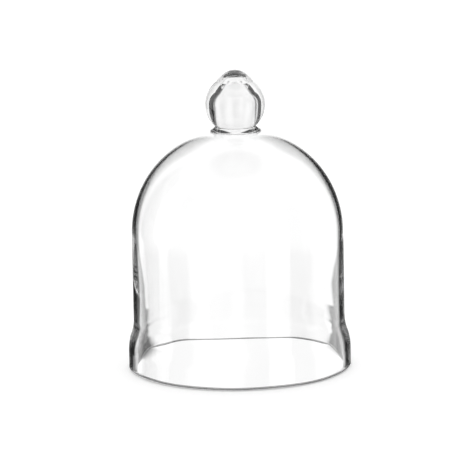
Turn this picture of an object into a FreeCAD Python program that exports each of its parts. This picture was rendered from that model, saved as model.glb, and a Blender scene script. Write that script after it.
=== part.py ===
"""Glass bell jar dome (cloche): a blown bell, a collar, a hollow knob and the button on top of it.

Millimetres, +Z up. The origin is the middle of the rim's resting plane, and the Z axis is the axis of
every piece. The four pieces are gathers of glass fused hot to each other: they share their faces and
nothing in the object moves. Each piece is one closed outline turned round the axis.
"""
import FreeCAD, Part
import math
import os

import Sketcher

PARTS_FOLDER = "parts"
FULL_TURN = 360.0
CUBIC_MM_PER_ML = 1000.0

doc = FreeCAD.newDocument("bell_jar_dome")
sheet = doc.addObject("Spreadsheet::Sheet", "sizes")


class Size:
    """A length: its value now, and the expression that ties it to the driving sizes on the sheet."""

    def __init__(self, value, text):
        self.value = value
        self.text = text

    def __add__(self, other):
        return Size(self.value + other.value, f"({self.text} + {other.text})")

    def __sub__(self, other):
        return Size(self.value - other.value, f"({self.text} - {other.text})")


def driving(name, value):
    """Write one driving size on the next row of the sheet and return it."""
    driving.row += 1
    cell = f"A{driving.row}"
    sheet.set(cell, str(value))
    sheet.setAlias(cell, name)
    return Size(value, f"sizes.{name}")


driving.row = 0


def middle(one, other):
    """The length half way between two others."""
    return Size((one.value + other.value) / 2, f"(({one.text} + {other.text}) / 2)")


def height_on_ball(centre, radius, reach):
    """Height of a ball's upper surface at a distance from the axis that the ball is centred on."""
    rise = math.sqrt(radius.value ** 2 - reach.value ** 2)
    return Size(centre.value + rise, f"({centre.text} + sqrt({radius.text} ^ 2 - {reach.text} ^ 2))")


def portion(length, part, whole):
    """A length scaled by the ratio of two others."""
    value = length.value * part.value / whole.value
    return Size(value, f"({length.text} * {part.text} / {whole.text})")


def skirt_radius(ball, foot_reach, foot_rise, top_reach, top_rise):
    """Radius of a hollow arc that lies flat against a ball at its foot and reaches a point above it."""
    chord_squared = (top_reach.value - foot_reach.value) ** 2 + (top_rise.value - foot_rise.value) ** 2
    along = foot_reach.value * top_reach.value + foot_rise.value * top_rise.value
    clearance = along / ball.value - ball.value
    chord_text = f"(({top_reach.text} - {foot_reach.text}) ^ 2 + ({top_rise.text} - {foot_rise.text}) ^ 2)"
    along_text = f"({foot_reach.text} * {top_reach.text} + {foot_rise.text} * {top_rise.text})"
    clearance_text = f"({along_text} / {ball.text} - {ball.text})"
    return Size(chord_squared / (2 * clearance), f"({chord_text} / (2 * {clearance_text}))")


def bend(run, rise):
    """Radius of an arc that starts along one direction, rise, and has left it by run at its end."""
    radius = (run.value ** 2 + rise.value ** 2) / (2 * run.value)
    return Size(radius, f"(({run.text} ^ 2 + {rise.text} ^ 2) / (2 * {run.text}))")


AXIS = Size(0.0, "0")
GROUND = Size(0.0, "0")

# The outside of the bell: a round top on a straight wall, which flares to a foot with an upright band.
rim_radius = driving("rim_radius", 85.0)
bell_radius = driving("bell_radius", 80.7)
bell_centre = driving("bell_centre", 104.0)
flare_top = driving("flare_top", 39.0)
band_top = driving("band_top", 13.0)
rim_round = driving("rim_round", 1.2)

# The inside of the bell: its wall is thin above and thickens gently towards the foot.
rim_inside = driving("rim_inside", 79.6)
heel_radius = driving("heel_radius", 76.8)
heel_height = driving("heel_height", 37.0)
inside_radius = driving("inside_radius", 77.9)
inside_centre = driving("inside_centre", 103.4)

# The neck between the bell and the knob, with the throat through it.
collar_radius = driving("collar_radius", 20.3)
waist_height = driving("waist_height", 185.6)
waist_radius = driving("waist_radius", 15.3)
waist_inside = driving("waist_inside", 12.7)
throat_radius = driving("throat_radius", 14.8)
mouth_round = driving("mouth_round", 1.5)

# The knob: a hollow ball whose hollow is a pear that opens into the throat.
ball_radius = driving("ball_radius", 22.7)
ball_centre = driving("ball_centre", 201.8)
pear_radius = driving("pear_radius", 16.6)
pear_centre = driving("pear_centre", 201.7)
shoulder_radius = driving("shoulder_radius", 13.4)
shoulder_height = driving("shoulder_height", 210.1)
tip_bend = driving("tip_bend", 46.0)
tip_radius = driving("tip_radius", 3.8)
tip_height = driving("tip_height", 218.1)
tip_top = driving("tip_top", 218.8)

# The button: the small gather that closes the top of the ball.
button_radius = driving("button_radius", 14.2)
button_edge_radius = driving("button_edge_radius", 10.4)
button_edge_height = driving("button_edge_height", 223.7)
button_edge_bend = driving("button_edge_bend", 11.0)
button_top = driving("button_top", 228.3)


def arc_middle(start, end, radius, side):
    """The point half way along an arc whose centre lies to the left (1) or right (-1) of its path."""
    chord = end - start
    half = chord.Length / 2
    across = FreeCAD.Vector(-chord.y, chord.x, 0).normalize()
    depth = radius - math.sqrt(radius ** 2 - half ** 2)
    return (start + end) / 2 - across * (side * depth)


class Outline:
    """A closed outline in a body's upright plane, drawn from point to point round one half of it."""

    def __init__(self, body, name):
        self.sketch = body.newObject("Sketcher::SketchObject", name)
        upright = [plane for plane in body.Origin.OriginFeatures if plane.Role == "XZ_Plane"][0]
        self.sketch.AttachmentSupport = [(upright, "")]
        self.sketch.MapMode = "FlatFace"
        self.corners = []
        self.edges = []
        self.bends = []

    def start(self, reach, height):
        """Put the first corner: a distance from the axis, and a height."""
        self.corners.append((reach, height))

    def line(self, reach, height):
        """Draw a straight edge to the next corner."""
        start, end = self.step(reach, height)
        self.add(Part.LineSegment(start, end), start)

    def arc(self, reach, height, radius, side):
        """Draw a round edge to the next corner, with its centre to the left (1) or right (-1)."""
        start, end = self.step(reach, height)
        through = arc_middle(start, end, radius.value, side)
        self.add(Part.Arc(start, through, end), start)
        self.bends.append((len(self.edges) - 1, radius))

    def swing(self, reach, height, side):
        """Draw an S from one upright direction to another, as two arcs that meet half way."""
        last_reach, last_height = self.corners[-1]
        half_reach = middle(last_reach, reach)
        half_height = middle(last_height, height)
        run = half_reach - last_reach
        rise = half_height - last_height
        if run.value < 0:
            run = last_reach - half_reach
        radius = bend(run, rise)
        self.arc(half_reach, half_height, radius, side)
        self.arc(reach, height, radius, -side)

    def step(self, reach, height):
        """Note the next corner and return the two ends of the edge that leads to it."""
        self.corners.append((reach, height))
        return [FreeCAD.Vector(r.value, z.value, 0) for r, z in self.corners[-2:]]

    def add(self, curve, start):
        """Add an edge, and note which of its two ends is the first on the path."""
        index = self.sketch.addGeometry(curve, False)
        near_start = (self.sketch.getPoint(index, 1) - start).Length
        near_end = (self.sketch.getPoint(index, 2) - start).Length
        first, last = (1, 2) if near_start < near_end else (2, 1)
        self.edges.append((index, first, last))

    def pin(self, kind, index, point, size):
        """Hold a corner at a distance across or up from the origin, bound to the sheet."""
        number = self.sketch.addConstraint(Sketcher.Constraint(kind, -1, 1, index, point, size.value))
        self.sketch.setExpression(f"Constraints[{number}]", size.text)

    def hold(self, axis_geometry, index, point):
        """Hold a corner on the sketch's own axis."""
        self.sketch.addConstraint(Sketcher.Constraint("PointOnObject", index, point, axis_geometry))

    def close(self):
        """Join the edges end to end and bind every corner and every radius to the sheet."""
        across, upward = -1, -2
        for number, (index, first, last) in enumerate(self.edges):
            following, following_first, _ = self.edges[(number + 1) % len(self.edges)]
            meet = Sketcher.Constraint("Coincident", index, last, following, following_first)
            self.sketch.addConstraint(meet)
            reach, height = self.corners[number]
            if reach is AXIS:
                self.hold(upward, index, first)
            else:
                self.pin("DistanceX", index, first, reach)
            if height is GROUND:
                self.hold(across, index, first)
            else:
                self.pin("DistanceY", index, first, height)
        for number, radius in self.bends:
            index = self.edges[number][0]
            place = self.sketch.addConstraint(Sketcher.Constraint("Radius", index, radius.value))
            self.sketch.setExpression(f"Constraints[{place}]", radius.text)
        return self.sketch


def glass_body(label):
    """An empty body for one piece of glass, standing on the origin."""
    body = doc.addObject("PartDesign::Body", label)
    body.Label = label
    body.Placement = FreeCAD.Placement()
    return body


def turn(body, outline):
    """Turn a closed outline once round the axis."""
    sketch = outline.close()
    revolution = body.newObject("PartDesign::Revolution", f"{body.Label}_turned")
    revolution.Profile = (sketch, [""])
    revolution.ReferenceAxis = (sketch, ["V_Axis"])
    revolution.Angle = FULL_TURN
    sketch.Visibility = False
    return body


def neck_seam():
    """The slanted cut through the bell's wall where the collar ends: its outer and its inner corner."""
    outer_height = height_on_ball(bell_centre, bell_radius, collar_radius)
    inner_reach = portion(collar_radius, inside_radius, bell_radius)
    inner_height = height_on_ball(inside_centre, inside_radius, inner_reach)
    return (collar_radius, outer_height), (inner_reach, inner_height)


def dome_shell():
    """The blown bell, from the collar's seam down its outside, under the rim and back up inside."""
    body = glass_body("dome_shell")
    path = Outline(body, "dome_shell_outline")
    outer_corner, inner_corner = neck_seam()
    path.start(*outer_corner)
    path.arc(bell_radius, bell_centre, bell_radius, -1)
    path.line(bell_radius, flare_top)
    path.swing(rim_radius, band_top, 1)
    path.line(rim_radius, rim_round)
    path.arc(rim_radius - rim_round, GROUND, rim_round, -1)
    path.line(rim_inside + rim_round, GROUND)
    path.arc(rim_inside, rim_round, rim_round, -1)
    path.line(rim_inside, band_top)
    path.swing(heel_radius, heel_height, 1)
    path.swing(inside_radius, inside_centre, -1)
    path.arc(*inner_corner, inside_radius, 1)
    path.line(*outer_corner)
    return turn(body, path)


def collar():
    """The neck between bell and knob: a skirt that runs out onto the bell, and the throat inside it."""
    body = glass_body("collar")
    path = Outline(body, "collar_outline")
    outer_corner, inner_corner = neck_seam()
    lip_ball = inside_radius + mouth_round
    mouth_reach = throat_radius + mouth_round
    mouth_height = height_on_ball(inside_centre, lip_ball, mouth_reach)
    lip_reach = portion(mouth_reach, inside_radius, lip_ball)
    lip_height = height_on_ball(inside_centre, inside_radius, lip_reach)
    foot_rise = outer_corner[1] - bell_centre
    waist_rise = waist_height - bell_centre
    skirt_bend = skirt_radius(bell_radius, collar_radius, foot_rise, waist_radius, waist_rise)
    path.start(waist_radius, waist_height)
    path.arc(*outer_corner, skirt_bend, 1)
    path.line(*inner_corner)
    path.arc(lip_reach, lip_height, inside_radius, 1)
    path.arc(throat_radius, mouth_height, mouth_round, -1)
    path.arc(waist_inside, waist_height, bend(throat_radius - waist_inside, waist_height - mouth_height), 1)
    path.line(waist_radius, waist_height)
    return turn(body, path)


def knob():
    """The hollow ball: round outside, drawn in to the waist, with a pear-shaped hollow."""
    body = glass_body("knob")
    path = Outline(body, "knob_outline")
    path.start(AXIS, ball_centre + ball_radius)
    path.arc(ball_radius, ball_centre, ball_radius, -1)
    path.arc(waist_radius, waist_height, bend(ball_radius - waist_radius, ball_centre - waist_height), -1)
    path.line(waist_inside, waist_height)
    path.arc(pear_radius, pear_centre, bend(pear_radius - waist_inside, pear_centre - waist_height), 1)
    shoulder_bend = bend(pear_radius - shoulder_radius, shoulder_height - pear_centre)
    path.arc(shoulder_radius, shoulder_height, shoulder_bend, 1)
    path.arc(tip_radius, tip_height, tip_bend, 1)
    path.arc(AXIS, tip_top, bend(tip_top - tip_height, tip_radius), 1)
    path.line(AXIS, ball_centre + ball_radius)
    return turn(body, path)


def knob_button():
    """The low button that sits on the ball like a cap, with a rounded edge."""
    body = glass_body("knob_button")
    path = Outline(body, "knob_button_outline")
    foot_height = height_on_ball(ball_centre, ball_radius, button_radius)
    path.start(AXIS, button_top)
    crown_bend_radius = bend(button_top - button_edge_height, button_edge_radius)
    path.arc(button_edge_radius, button_edge_height, crown_bend_radius, -1)
    path.arc(button_radius, foot_height, button_edge_bend, -1)
    path.arc(AXIS, ball_centre + ball_radius, ball_radius, 1)
    path.line(AXIS, button_top)
    return turn(body, path)


def check(bodies):
    """Stop if anything failed to build: an object in error, an empty shape or a bad solid."""
    for item in doc.Objects:
        if "Invalid" in item.State or "Error" in item.State:
            raise RuntimeError(f"{item.Label} did not build: {item.State}")
    for body in bodies:
        shape = body.Shape
        if shape.isNull() or not shape.isValid() or len(shape.Solids) != 1:
            raise RuntimeError(f"{body.Label} is not one valid solid")
        print(f"{body.Label}: {shape.Volume / CUBIC_MM_PER_ML:.1f} ml of glass")


def main():
    doc.recompute()
    bodies = [dome_shell(), collar(), knob(), knob_button()]
    doc.recompute()
    check(bodies)
    os.makedirs(PARTS_FOLDER, exist_ok=True)
    for body in bodies:
        body.Shape.exportStep(f"{PARTS_FOLDER}/{body.Label}.step")


main()
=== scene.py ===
"""Glass bell jar dome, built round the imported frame: blown bell, collar, hollow knob and its button."""
import math

import bmesh
import bpy
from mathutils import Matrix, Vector, noise


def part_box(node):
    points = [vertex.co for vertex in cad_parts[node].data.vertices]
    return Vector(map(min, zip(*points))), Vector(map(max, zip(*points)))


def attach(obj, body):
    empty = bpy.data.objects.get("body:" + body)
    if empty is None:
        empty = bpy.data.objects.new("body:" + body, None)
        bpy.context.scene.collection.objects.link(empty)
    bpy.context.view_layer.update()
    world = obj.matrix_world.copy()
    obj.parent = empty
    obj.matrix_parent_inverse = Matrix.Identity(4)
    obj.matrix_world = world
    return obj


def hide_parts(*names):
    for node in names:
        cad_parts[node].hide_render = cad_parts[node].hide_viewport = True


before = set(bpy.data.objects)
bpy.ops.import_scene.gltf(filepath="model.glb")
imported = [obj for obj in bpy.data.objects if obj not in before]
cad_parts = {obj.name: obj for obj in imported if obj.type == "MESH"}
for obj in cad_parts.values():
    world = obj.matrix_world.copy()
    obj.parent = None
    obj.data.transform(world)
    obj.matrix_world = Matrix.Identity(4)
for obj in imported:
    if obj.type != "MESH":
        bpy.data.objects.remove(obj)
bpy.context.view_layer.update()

MM = 0.001
NO_LENGTH = 1e-9         # closer than this, in metres, is the same place

# ---------------------------------------------------------------- sizes, from the frame
bell_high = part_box("dome_shell")[1]
collar_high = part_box("collar")[1]
knob_low, knob_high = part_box("knob")
button_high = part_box("knob_button")[1]

RIM_RADIUS = bell_high[0]
WAIST_HEIGHT = knob_low[2]
BALL_RADIUS = knob_high[0]
BALL_CENTRE = knob_high[2] - BALL_RADIUS
BUTTON_RADIUS = button_high[0]
BUTTON_TOP = button_high[2]
COLLAR_RADIUS = collar_high[0]

BELL_RADIUS = RIM_RADIUS - 4.3 * MM
BELL_CENTRE = 104.0 * MM
FLARE_TOP = 39.0 * MM
BAND_TOP = 13.0 * MM
RIM_ROUND = 1.2 * MM

RIM_INSIDE = RIM_RADIUS - 5.4 * MM
HEEL_RADIUS = RIM_RADIUS - 8.2 * MM
HEEL_HEIGHT = 37.0 * MM
INSIDE_RADIUS = BELL_RADIUS - 2.8 * MM
INSIDE_CENTRE = BELL_CENTRE - 0.6 * MM
MOUTH_ROUND = 1.5 * MM
THROAT_RADIUS = 14.8 * MM

WAIST_RADIUS = 15.3 * MM
WAIST_INSIDE = 12.7 * MM

PEAR_RADIUS = 16.6 * MM
PEAR_CENTRE = BALL_CENTRE - 0.1 * MM
SHOULDER_RADIUS = 13.4 * MM
SHOULDER_HEIGHT = 210.1 * MM
TIP_RADIUS = 3.8 * MM
TIP_HEIGHT = 218.1 * MM
TIP_TOP = 218.8 * MM
TIP_BEND = 46.0 * MM

BUTTON_EDGE_RADIUS = 10.4 * MM
BUTTON_EDGE_HEIGHT = BUTTON_TOP - 4.6 * MM
BUTTON_EDGE_BEND = 11.0 * MM

STEP = 1.3 * MM          # longest stretch between two points along an outline
FINE_STEP = STEP / 2     # and along the small round edges of the collar, knob and button
ARC_TURN = math.radians(6)   # an arc also bends no more than this at a point
FEWEST_STEPS = 4
TURN_STEPS = 256         # points round the axis
GLASS, SEAM, RIM = 0, 1, 2   # material slots of the pieces; only the bell has the last


# ---------------------------------------------------------------- outlines
def height_on_ball(centre, radius, reach):
    """Height of a ball's upper surface at a distance from the axis."""
    return centre + math.sqrt(radius ** 2 - reach ** 2)


def bend(run, rise):
    """Radius of an arc that starts along one direction, rise, and has left it by run at its end."""
    return (run ** 2 + rise ** 2) / (2 * run)


class Outline:
    """Points (distance from the axis, height) along a turned piece, and each edge's material slot."""

    def __init__(self, reach, height):
        self.points = [(reach, height)]
        self.slots = []

    def line(self, reach, height, slot=GLASS, step=STEP):
        """A straight edge, cut into short steps."""
        start_reach, start_height = self.points[-1]
        steps = max(1, math.ceil(math.hypot(reach - start_reach, height - start_height) / step))
        for number in range(1, steps + 1):
            part = number / steps
            self.points.append((start_reach + (reach - start_reach) * part,
                                start_height + (height - start_height) * part))
            self.slots.append(slot)

    def arc(self, reach, height, radius, side, slot=GLASS, step=STEP):
        """A round edge, with its centre to the left (1) or right (-1) of the way it runs."""
        start = Vector(self.points[-1])
        end = Vector((reach, height))
        chord = end - start
        half = chord.length / 2
        across = Vector((-chord.y, chord.x)).normalized() * side
        centre = (start + end) / 2 + across * math.sqrt(max(radius ** 2 - half ** 2, 0.0))
        first = math.atan2(start.y - centre.y, start.x - centre.x)
        sweep = 2 * math.asin(min(half / radius, 1.0)) * side
        for_turn = math.ceil(abs(sweep) / ARC_TURN)
        steps = max(FEWEST_STEPS, for_turn, math.ceil(abs(sweep) * radius / step))
        for number in range(1, steps + 1):
            angle = first + sweep * number / steps
            self.points.append((max(centre.x + radius * math.cos(angle), 0.0),
                                centre.y + radius * math.sin(angle)))
            self.slots.append(slot)
        self.points[-1] = (reach, height)

    def swing(self, reach, height, side):
        """An S from one upright direction to another, as two arcs that meet half way."""
        start_reach, start_height = self.points[-1]
        half_reach = (start_reach + reach) / 2
        half_height = (start_height + height) / 2
        radius = bend(abs(half_reach - start_reach), half_height - start_height)
        self.arc(half_reach, half_height, radius, side)
        self.arc(reach, height, radius, -side)


def bell_outline():
    """From the collar's seam down the outside, under the rim and back up the inside."""
    seam_height = height_on_ball(BELL_CENTRE, BELL_RADIUS, COLLAR_RADIUS)
    inside_reach = COLLAR_RADIUS * INSIDE_RADIUS / BELL_RADIUS
    path = Outline(COLLAR_RADIUS, seam_height)
    path.arc(BELL_RADIUS, BELL_CENTRE, BELL_RADIUS, -1)
    path.line(BELL_RADIUS, FLARE_TOP)
    path.swing(RIM_RADIUS, BAND_TOP, 1)
    path.line(RIM_RADIUS, RIM_ROUND)
    path.arc(RIM_RADIUS - RIM_ROUND, 0.0, RIM_ROUND, -1, RIM)
    path.line(RIM_INSIDE + RIM_ROUND, 0.0, RIM)
    path.arc(RIM_INSIDE, RIM_ROUND, RIM_ROUND, -1, RIM)
    path.line(RIM_INSIDE, BAND_TOP)
    path.swing(HEEL_RADIUS, HEEL_HEIGHT, 1)
    path.swing(INSIDE_RADIUS, INSIDE_CENTRE, -1)
    path.arc(inside_reach, height_on_ball(INSIDE_CENTRE, INSIDE_RADIUS, inside_reach), INSIDE_RADIUS, 1)
    path.line(COLLAR_RADIUS, seam_height, SEAM)
    return path


def collar_outline():
    """From the waist down the outside onto the bell, across the wall and up through the throat."""
    foot_height = height_on_ball(BELL_CENTRE, BELL_RADIUS, COLLAR_RADIUS)
    foot = Vector((COLLAR_RADIUS, foot_height - BELL_CENTRE))
    waist = Vector((WAIST_RADIUS, WAIST_HEIGHT - BELL_CENTRE))
    skirt_bend = (waist - foot).length_squared / (2 * (foot.dot(waist) / BELL_RADIUS - BELL_RADIUS))
    inside_reach = COLLAR_RADIUS * INSIDE_RADIUS / BELL_RADIUS
    lip_reach = (THROAT_RADIUS + MOUTH_ROUND) * (INSIDE_RADIUS / (INSIDE_RADIUS + MOUTH_ROUND))
    mouth_ball = INSIDE_RADIUS + MOUTH_ROUND
    mouth_height = height_on_ball(INSIDE_CENTRE, mouth_ball, THROAT_RADIUS + MOUTH_ROUND)
    path = Outline(WAIST_RADIUS, WAIST_HEIGHT)
    path.arc(COLLAR_RADIUS, foot_height, skirt_bend, 1, GLASS, FINE_STEP)
    path.line(inside_reach, height_on_ball(INSIDE_CENTRE, INSIDE_RADIUS, inside_reach), SEAM)
    path.arc(lip_reach, height_on_ball(INSIDE_CENTRE, INSIDE_RADIUS, lip_reach), INSIDE_RADIUS, 1)
    path.arc(THROAT_RADIUS, mouth_height, MOUTH_ROUND, -1, GLASS, FINE_STEP)
    throat_bend = bend(THROAT_RADIUS - WAIST_INSIDE, WAIST_HEIGHT - mouth_height)
    path.arc(WAIST_INSIDE, WAIST_HEIGHT, throat_bend, 1, GLASS, FINE_STEP)
    path.line(WAIST_RADIUS, WAIST_HEIGHT, SEAM)
    return path


def knob_outline():
    """From the top of the ball down to the waist and back up round the pear-shaped hollow."""
    button_foot = height_on_ball(BALL_CENTRE, BALL_RADIUS, BUTTON_RADIUS)
    path = Outline(0.0, BALL_CENTRE + BALL_RADIUS)
    path.arc(BUTTON_RADIUS, button_foot, BALL_RADIUS, -1, SEAM)
    path.arc(BALL_RADIUS, BALL_CENTRE, BALL_RADIUS, -1, GLASS, FINE_STEP)
    waist_bend = bend(BALL_RADIUS - WAIST_RADIUS, BALL_CENTRE - WAIST_HEIGHT)
    path.arc(WAIST_RADIUS, WAIST_HEIGHT, waist_bend, -1, GLASS, FINE_STEP)
    path.line(WAIST_INSIDE, WAIST_HEIGHT, SEAM)
    pear_bend = bend(PEAR_RADIUS - WAIST_INSIDE, PEAR_CENTRE - WAIST_HEIGHT)
    path.arc(PEAR_RADIUS, PEAR_CENTRE, pear_bend, 1, GLASS, FINE_STEP)
    shoulder_bend = bend(PEAR_RADIUS - SHOULDER_RADIUS, SHOULDER_HEIGHT - PEAR_CENTRE)
    path.arc(SHOULDER_RADIUS, SHOULDER_HEIGHT, shoulder_bend, 1, GLASS, FINE_STEP)
    path.arc(TIP_RADIUS, TIP_HEIGHT, TIP_BEND, 1, GLASS, FINE_STEP)
    path.arc(0.0, TIP_TOP, bend(TIP_TOP - TIP_HEIGHT, TIP_RADIUS), 1, GLASS, FINE_STEP)
    return path


def button_outline():
    """From the top of the button over its rounded edge and back along the ball's surface."""
    foot_height = height_on_ball(BALL_CENTRE, BALL_RADIUS, BUTTON_RADIUS)
    path = Outline(0.0, BUTTON_TOP)
    crown_bend = bend(BUTTON_TOP - BUTTON_EDGE_HEIGHT, BUTTON_EDGE_RADIUS)
    path.arc(BUTTON_EDGE_RADIUS, BUTTON_EDGE_HEIGHT, crown_bend, -1, GLASS, FINE_STEP)
    path.arc(BUTTON_RADIUS, foot_height, BUTTON_EDGE_BEND, -1, GLASS, FINE_STEP)
    path.arc(0.0, BALL_CENTRE + BALL_RADIUS, BALL_RADIUS, 1, SEAM)
    return path


# ---------------------------------------------------------------- hand-blown unevenness
RIM_WAVE = 0.55 * MM         # the rim's edge rises by up to twice this
RIM_WAVE_TOP = 45.0 * MM     # above this height the rim's wave has died out
RIM_WAVES = ((2, 0.5, 0.6), (5, 0.3, 2.0), (9, 0.2, 0.0))   # how many round the rim, how deep, start angle
WALL_WAVE = 0.3 * MM         # how far the inside of the wall wanders in and out
WALL_LUMP = 26.0 * MM        # and over what distance across
WALL_STREAK = 70.0 * MM      # and up
CALM_START, CALM_END = 40.0 * MM, 120.0 * MM   # between these heights the wall's wave grows weaker
CALM_LOSS = 0.6              # by this share
RIGHT_SHARE = 0.6            # and on the right it has this share of its strength on the left
SWAY = 0.15 * MM             # how far the whole outside leaves the round
SWAY_SPREAD = 4 * WALL_LUMP  # and over what distance across
SWAY_OFFSET = 7              # reads another part of the noise than the lumps do
CROWN_START, CROWN_END = 0.5, 0.85   # shares of the bell's radius above its centre where the waves die out


def smooth(value, start, end):
    """0 before start, 1 after end and an even S between them."""
    part = min(max((value - start) / (end - start), 0.0), 1.0)
    return part * part * (3 - 2 * part)


def outer_reach(height):
    """How far the bell's outside is from the axis at a height."""
    if height > BELL_CENTRE:
        return math.sqrt(max(BELL_RADIUS ** 2 - (height - BELL_CENTRE) ** 2, 0.0))
    return BELL_RADIUS + (RIM_RADIUS - BELL_RADIUS) * (1 - smooth(height, BAND_TOP, FLARE_TOP))


def wander(point, spread, offset):
    """A smooth field of noise, drawn out up the wall."""
    return noise.noise(Vector((point.x / spread, point.y / spread, point.z / WALL_STREAK + offset)))


def hand_blown(point):
    """Where a point of the true round shape lies on the blown glass, the same for every piece."""
    reach = math.hypot(point.x, point.y)
    if reach < NO_LENGTH:
        return point.copy()
    turn = math.atan2(point.y, point.x)
    out = Vector((point.x / reach, point.y / reach, 0.0))
    on_bell = 1 - smooth(point.z, BELL_CENTRE + CROWN_START * BELL_RADIUS,
                         BELL_CENTRE + CROWN_END * BELL_RADIUS)
    wave = 1 + sum(deep * math.sin(count * turn + first) for count, deep, first in RIM_WAVES)
    rise = RIM_WAVE * wave * (1 - smooth(point.z, 0.0, RIM_WAVE_TOP))
    depth = smooth(outer_reach(point.z) - reach, 0.0, BELL_RADIUS - INSIDE_RADIUS)
    near_foot = 1 - CALM_LOSS * smooth(point.z, CALM_START, CALM_END)
    left = RIGHT_SHARE + (1 - RIGHT_SHARE) * smooth(-point.x, -RIM_RADIUS, RIM_RADIUS)
    lump = wander(point, WALL_LUMP, 0)
    sway = wander(point, SWAY_SPREAD, SWAY_OFFSET)
    inside_shift = WALL_WAVE * lump * depth * near_foot * left
    outside_shift = SWAY * sway * smooth(point.z, 0.0, BAND_TOP)
    shift = on_bell * (inside_shift + outside_shift)
    return point + out * shift + Vector((0.0, 0.0, rise))


# ---------------------------------------------------------------- turned meshes
def turned_piece(name, outline, materials):
    """Turn an outline round the Z axis into one closed mesh."""
    mesh = bpy.data.meshes.new(name)
    work = bmesh.new()
    points = outline.points
    closed = math.dist(points[0], points[-1]) < NO_LENGTH
    if closed:
        points = points[:-1]
    rings = [ring(work, reach, height) for reach, height in points]
    if closed:
        rings.append(rings[0])
    for (lower, upper), slot in zip(zip(rings, rings[1:]), outline.slots):
        band(work, lower, upper, slot)
    for edge in work.edges:
        edge.smooth = not ends_seam(edge)
    bmesh.ops.recalc_face_normals(work, faces=work.faces)
    for corner in work.verts:
        corner.co = hand_blown(corner.co)
    work.to_mesh(mesh)
    work.free()
    for material in materials:
        mesh.materials.append(material)
    piece = bpy.data.objects.new(name, mesh)
    bpy.context.scene.collection.objects.link(piece)
    return piece


def ends_seam(edge):
    """Whether a fused face meets another face here, which makes a sharp corner in the glass."""
    slots = {face.material_index for face in edge.link_faces}
    return SEAM in slots and len(slots) > 1


def ring(work, reach, height):
    """One ring of points round the axis, or a single point on it."""
    if reach < NO_LENGTH:
        return [work.verts.new((0.0, 0.0, height))]
    turn = 2 * math.pi / TURN_STEPS
    return [work.verts.new((reach * math.cos(turn * n), reach * math.sin(turn * n), height))
            for n in range(TURN_STEPS)]


def band(work, first, second, slot):
    """The faces between two rings; either may be a single point."""
    for here in range(TURN_STEPS):
        there = (here + 1) % TURN_STEPS
        if len(first) == 1:
            corners = (first[0], second[here], second[there])
        elif len(second) == 1:
            corners = (first[here], second[0], first[there])
        else:
            corners = (first[here], second[here], second[there], first[there])
        face = work.faces.new(corners)
        face.material_index = slot
        face.smooth = True


# ---------------------------------------------------------------- materials
GLASS_IOR = 1.5
CLOUDIEST = 0.97                             # the least clear patches pass this share of the light
PATCH_LOW, PATCH_HIGH = 0.3, 0.7             # the noise's usual range, spread over a whole patch


def noise_node(tree, where, scale, detail):
    """A noise texture's output."""
    texture = tree.nodes.new("ShaderNodeTexNoise")
    texture.inputs["Scale"].default_value = scale
    texture.inputs["Detail"].default_value = detail
    tree.links.new(where, texture.inputs["Vector"])
    return texture.outputs["Fac"]


def spread_patches(tree, patches, least, most, socket):
    """Let patches of noise vary a socket between two values."""
    spread = tree.nodes.new("ShaderNodeMapRange")
    spread.inputs["From Min"].default_value = PATCH_LOW
    spread.inputs["From Max"].default_value = PATCH_HIGH
    spread.inputs["To Min"].default_value = least
    spread.inputs["To Max"].default_value = most
    tree.links.new(patches, spread.inputs["Value"])
    tree.links.new(spread.outputs[0], socket)


def glass(name, ripple, ripple_size, smoothest=0.0, roughest=0.0, tint=1.0, grain=40.0, stretch=0.3):
    """Glass that is clearer and duller in patches, with faint ripples; a stretch under 1 draws them out."""
    material = bpy.data.materials.new(name)
    material.use_nodes = True
    tree = material.node_tree
    shader = tree.nodes["Principled BSDF"]
    shader.inputs["IOR"].default_value = GLASS_IOR
    shader.inputs["Transmission Weight"].default_value = 1.0
    shader.inputs["Roughness"].default_value = smoothest

    place = tree.nodes.new("ShaderNodeTexCoord")
    drawn_out = tree.nodes.new("ShaderNodeMapping")
    drawn_out.inputs["Scale"].default_value = (1.0, 1.0, stretch)
    tree.links.new(place.outputs["Object"], drawn_out.inputs["Vector"])

    patches = noise_node(tree, drawn_out.outputs["Vector"], grain, 3.0)
    spread_patches(tree, patches, CLOUDIEST * tint, tint, shader.inputs["Base Color"])
    if roughest > 0:
        spread_patches(tree, patches, smoothest, roughest, shader.inputs["Roughness"])

    bump = tree.nodes.new("ShaderNodeBump")
    bump.inputs["Strength"].default_value = 1.0
    bump.inputs["Distance"].default_value = ripple
    ripples = noise_node(tree, drawn_out.outputs["Vector"], ripple_size, 1.0)
    tree.links.new(ripples, bump.inputs["Height"])
    tree.links.new(bump.outputs["Normal"], shader.inputs["Normal"])
    return material


def bell_glass():
    """The bell's fire-polished wall, with no roughness at all."""
    return glass("bell_glass", 0.03 * MM, 22.0)


def collar_glass():
    """The neck's glass, more finely rippled where it was worked."""
    return glass("collar_glass", 0.03 * MM, 60.0, grain=90.0, stretch=1.0)


def knob_glass():
    """The knob's glass, which hands have touched, so its polish is a little duller."""
    return glass("knob_glass", 0.02 * MM, 70.0, 0.031, 0.042, grain=120.0, stretch=0.8)


def ground_rim_painted_shade():
    """The cut underside of the rim, ground matt, with a dark grey tint that is partly the ground glass's
    grey and partly painted shade: the dark line where the rim stands on the floor.
    """
    # tint=0.2 darkens the light through the rim's underside: painted shade along the foot of the rim
    return glass("ground_rim_painted_shade", 0.04 * MM, 1500.0, 0.22, 0.4, tint=0.2, grain=900.0, stretch=1.0)


def fused_seam():
    """The hidden face between two pieces of glass that are fused: light crosses it unchanged."""
    material = bpy.data.materials.new("fused_seam")
    material.use_nodes = True
    nodes = material.node_tree.nodes
    nodes.clear()
    output = nodes.new("ShaderNodeOutputMaterial")
    clear = nodes.new("ShaderNodeBsdfTransparent")
    material.node_tree.links.new(clear.outputs[0], output.inputs["Surface"])
    return material
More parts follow.
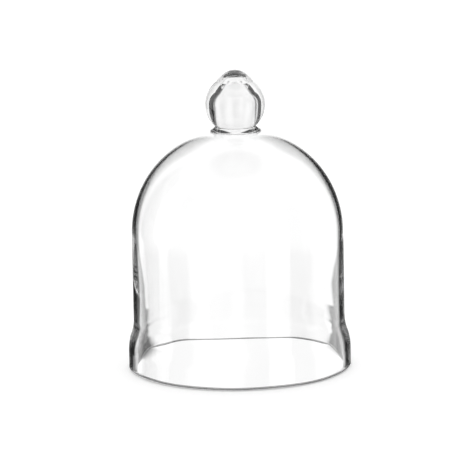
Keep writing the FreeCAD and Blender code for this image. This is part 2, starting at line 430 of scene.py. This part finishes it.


# ---------------------------------------------------------------- studio
# White backdrops that only the glass sees, each with a dark card on both sides, which draws the glass's dark
# edges: azimuth round the dome (0 looks along +Y), how far down the view that it serves looks, and the
# lowest and highest elevation that it covers, all in degrees. They serve the photograph's view and three
# other fixed views. From other sides the cards stand in the wrong places, and from
# well above the glass looks dark, because it shows the dark level below the table.
BACKDROPS = ((0, 8, -70, 40), (45, 25, -70, -13), (90, 3, -14, 40), (225, 15, -70, 40))
BACKDROP_SOFT = 1.5                          # degrees, as are the next ones down to SWEEP_SOFT
CARD_INNER, CARD_INNER_SOFT = 12.3, 2.0      # to the side, where a dark card begins
CARD_OUTER, CARD_OUTER_SOFT = 42.0, 6.0      # and where it ends
CARD_REACH, CARD_REACH_SOFT = 48.0, 8.0      # up and down
FOOT_LEAN = 7.0                              # low down the cards lean in by this, behind the wider foot
FOOT_RISE, FOOT_RISE_SOFT = -6.5, 2.5
KNOB_MARGIN = 13.0                           # rays from the knob see the cards this much further out
TABLE_EDGE, TABLE_SOFT = -52.0, 3.0          # below this elevation the glass sees a dark level
CEILING_EDGE, CEILING_SOFT = 67.0, 8.0       # above this one it sees a dark ceiling
SWEEP_EDGE, SWEEP_SOFT = -12.8, 0.8          # below this one the white that the glass sees is dimmer
SWEEP_SHADE = 0.09                           # by this
CARD_LEVEL, WHITE_LEVEL, KNOB_LEVEL = 0.02, 1.15, 1.0   # the last is the white that knob rays see
ECHO_PLAIN = 0.8                             # how far the cards fade where the far wall mirrors them
ANY_BOUNCE = 0.5                             # a ray's count of bounces is above this once it has had one
FAR_WALL = 2.5                               # and of passes through glass, once it is past the near wall


class Studio:
    """Short names for the nodes of the world's light."""

    def __init__(self, tree):
        self.nodes = tree.nodes
        self.links = tree.links
        self.direction = self.nodes.new("ShaderNodeTexCoord").outputs["Generated"]
        self.rays = self.nodes.new("ShaderNodeLightPath").outputs
        self.elevation = self.math("ARCSINE", self.along((0, 0, 1)))
        self.rough_ray = self.inverse(self.rays["Is Singular Ray"])

    def math(self, operation, *values):
        """One step of arithmetic on numbers or other nodes' outputs."""
        node = self.nodes.new("ShaderNodeMath")
        node.operation = operation
        for socket, value in zip(node.inputs, values):
            if isinstance(value, (int, float)):
                socket.default_value = value
            else:
                self.links.new(value, socket)
        return node.outputs[0]

    def along(self, axis):
        """How far the looked-at direction points along an axis."""
        node = self.nodes.new("ShaderNodeVectorMath")
        node.operation = "DOT_PRODUCT"
        self.links.new(self.direction, node.inputs[0])
        node.inputs[1].default_value = axis
        return node.outputs["Value"]

    def soft_step(self, value, edge, softness):
        """0 below an edge given in degrees and 1 above it."""
        node = self.nodes.new("ShaderNodeMapRange")
        node.interpolation_type = "SMOOTHSTEP"
        self.links.new(value, node.inputs["Value"])
        node.inputs["From Min"].default_value = math.radians(edge - softness)
        node.inputs["From Max"].default_value = math.radians(edge + softness)
        return node.outputs[0]

    def inverse(self, value):
        """1 less a value."""
        return self.math("SUBTRACT", 1.0, value)


def card_and_backdrop(studio, azimuth, look_down, lowest, highest):
    """Where one backdrop's two dark cards stand, and where its white does."""
    turn = math.radians(azimuth)
    tilt = math.radians(look_down)
    level = math.cos(tilt)
    ahead = Vector((-math.sin(turn) * level, math.cos(turn) * level, -math.sin(tilt)))
    right = Vector((math.cos(turn), math.sin(turn), 0.0))
    margin = studio.math("MULTIPLY", studio.rough_ray, math.radians(KNOB_MARGIN))
    side = studio.math("ABSOLUTE", studio.math("ARCTAN2", studio.along(right), studio.along(ahead)))
    side = studio.math("SUBTRACT", side, margin)
    rise = studio.math("ARCSINE", studio.along(right.cross(ahead)))
    lean = studio.inverse(studio.soft_step(rise, FOOT_RISE, FOOT_RISE_SOFT))
    side = studio.math("MULTIPLY_ADD", lean, math.radians(FOOT_LEAN), side)
    beside = studio.soft_step(side, CARD_INNER, CARD_INNER_SOFT)
    beyond = studio.soft_step(side, CARD_OUTER, CARD_OUTER_SOFT)
    too_high = studio.soft_step(studio.math("ABSOLUTE", rise), CARD_REACH, CARD_REACH_SOFT)
    card = studio.math("MULTIPLY", beside, studio.inverse(beyond))
    card = studio.math("MULTIPLY", studio.inverse(too_high), card)
    above = studio.soft_step(studio.elevation, lowest, BACKDROP_SOFT)
    below = studio.inverse(studio.soft_step(studio.elevation, highest, BACKDROP_SOFT))
    backdrop = studio.math("MULTIPLY", studio.inverse(beside), studio.math("MULTIPLY", above, below))
    return card, backdrop


def dark_places(studio):
    """The cards, where no backdrop hides them, the dark level below and the dark ceiling."""
    cards, backdrops = zip(*(card_and_backdrop(studio, *backdrop) for backdrop in BACKDROPS))
    card, backdrop = cards[0], backdrops[0]
    for other_card, other_backdrop in zip(cards[1:], backdrops[1:]):
        card = studio.math("MAXIMUM", card, other_card)
        backdrop = studio.math("MAXIMUM", backdrop, other_backdrop)
    dark = studio.math("MULTIPLY", card, studio.inverse(backdrop))
    below = studio.inverse(studio.soft_step(studio.elevation, TABLE_EDGE, TABLE_SOFT))
    dark = studio.math("MAXIMUM", dark, below)
    return studio.math("MAXIMUM", dark, studio.soft_step(studio.elevation, CEILING_EDGE, CEILING_SOFT))


def mirrored_far_off(studio):
    """How far the dark fades for a ray that the far wall has mirrored, which hides second images."""
    mirrored = studio.math("GREATER_THAN", studio.rays["Glossy Depth"], ANY_BOUNCE)
    far_wall = studio.math("GREATER_THAN", studio.rays["Transmission Depth"], FAR_WALL)
    echo = studio.math("MULTIPLY", mirrored, far_wall)
    echo = studio.math("MULTIPLY", echo, studio.rays["Is Singular Ray"])
    return studio.math("MULTIPLY", echo, ECHO_PLAIN)


def studio_world():
    """Plain white for the camera and for the light; the glass alone sees the dark places too.

    Of the glass, only the knob, its button and the ground rim are rough, so only their rays aren't singular.
    """
    world = bpy.data.worlds.new("studio")
    bpy.context.scene.world = world
    world.use_nodes = True
    world.node_tree.nodes.clear()
    studio = Studio(world.node_tree)
    diffuse = studio.math("GREATER_THAN", studio.rays["Diffuse Depth"], ANY_BOUNCE)
    direct = studio.math("MAXIMUM", studio.rays["Is Camera Ray"], diffuse)
    plain = studio.math("MAXIMUM", direct, mirrored_far_off(studio))
    drawn = studio.math("MULTIPLY", dark_places(studio), studio.inverse(plain))
    white = studio.math("MULTIPLY_ADD", studio.rough_ray, KNOB_LEVEL - WHITE_LEVEL, WHITE_LEVEL)
    low = studio.inverse(studio.soft_step(studio.elevation, SWEEP_EDGE, SWEEP_SOFT))
    low = studio.math("MULTIPLY", low, studio.inverse(direct))
    white = studio.math("MULTIPLY_ADD", low, -SWEEP_SHADE, white)
    lit = studio.math("MULTIPLY", white, studio.inverse(drawn))
    level = studio.math("ADD", lit, studio.math("MULTIPLY", drawn, CARD_LEVEL))

    output = studio.nodes.new("ShaderNodeOutputWorld")
    background = studio.nodes.new("ShaderNodeBackground")
    background.inputs["Color"].default_value = (1, 1, 1, 1)
    studio.links.new(level, background.inputs["Strength"])
    studio.links.new(background.outputs[0], output.inputs[0])


FLOOR_REACH = 6.0            # metres each way from the dome
FLOOR_DROP = 0.5 * MM        # keeps the floor clear of the rim's faces
FLOOR_SHADE = 0.9
FLOOR_ROUGHNESS = 0.8
FLOOR_GLOW = 0.3


def studio_floor():
    """A wide pale floor, which the glass neither mirrors nor shows through itself."""
    mesh = bpy.data.meshes.new("floor")
    corners = [(x * FLOOR_REACH, y * FLOOR_REACH, 0) for x, y in ((-1, -1), (1, -1), (1, 1), (-1, 1))]
    mesh.from_pydata(corners, [], [(0, 1, 2, 3)])
    floor = bpy.data.objects.new("floor", mesh)
    bpy.context.scene.collection.objects.link(floor)
    material = bpy.data.materials.new("pale_floor")
    material.use_nodes = True
    shader = material.node_tree.nodes["Principled BSDF"]
    shader.inputs["Base Color"].default_value = (FLOOR_SHADE, FLOOR_SHADE, FLOOR_SHADE, 1)
    shader.inputs["Roughness"].default_value = FLOOR_ROUGHNESS
    shader.inputs["Emission Color"].default_value = (1, 1, 1, 1)
    shader.inputs["Emission Strength"].default_value = FLOOR_GLOW
    mesh.materials.append(material)
    floor.visible_transmission = False
    floor.visible_glossy = False
    floor.location.z = -FLOOR_DROP


CAMERA_DISTANCE = 3.0                        # metres
CAMERA_RISE = math.radians(13.5)             # how high the camera stands, seen from the rim's centre
CAMERA_PITCH = math.radians(11.5)            # and how far down it looks
CAMERA_ROLL = math.radians(1.1)
CAMERA_LENS, CAMERA_SENSOR = 297.5, 36.0     # millimetres
CAMERA_SHIFT = (-0.001, -0.0198)
CAMERA_CLIP = 100                            # metres


def camera():
    """The photograph's long lens, a little above the dome."""
    data = bpy.data.cameras.new("camera")
    view = bpy.data.objects.new("camera", data)
    bpy.context.scene.collection.objects.link(view)
    back = -CAMERA_DISTANCE * math.cos(CAMERA_RISE)
    view.location = (0, back, CAMERA_DISTANCE * math.sin(CAMERA_RISE))
    view.rotation_euler = (math.radians(90) - CAMERA_PITCH, 0, 0)
    view.rotation_euler.rotate_axis("Z", -CAMERA_ROLL)
    data.sensor_width = CAMERA_SENSOR
    data.lens = CAMERA_LENS
    data.shift_x, data.shift_y = CAMERA_SHIFT
    data.clip_end = CAMERA_CLIP
    bpy.context.scene.camera = view


BOUNCES = 64                 # light crosses many faces of nested glass


def render_settings():
    """Plain colours, and enough bounces for the glass."""
    scene = bpy.context.scene
    scene.view_settings.view_transform = "Standard"
    scene.cycles.max_bounces = BOUNCES
    scene.cycles.transmission_bounces = BOUNCES
    scene.cycles.glossy_bounces = BOUNCES


def dome():
    """The four pieces of glass, each in the place of its node, which is hidden."""
    seam = fused_seam()
    knob_material = knob_glass()
    bell = turned_piece("blown_bell", bell_outline(), (bell_glass(), seam, ground_rim_painted_shade()))
    neck = turned_piece("glass_collar", collar_outline(), (collar_glass(), seam))
    ball = turned_piece("hollow_knob", knob_outline(), (knob_material, seam))
    button = turned_piece("top_button", button_outline(), (knob_material, seam))
    for piece, node, slot in ((bell, "dome_shell", "bell_glass"), (neck, "collar", "collar_glass"),
                              (ball, "knob", "knob_glass"), (button, "knob_button", "knob_glass")):
        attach(piece, "root")
        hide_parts(node)


dome()
studio_floor()
studio_world()
camera()
render_settings()
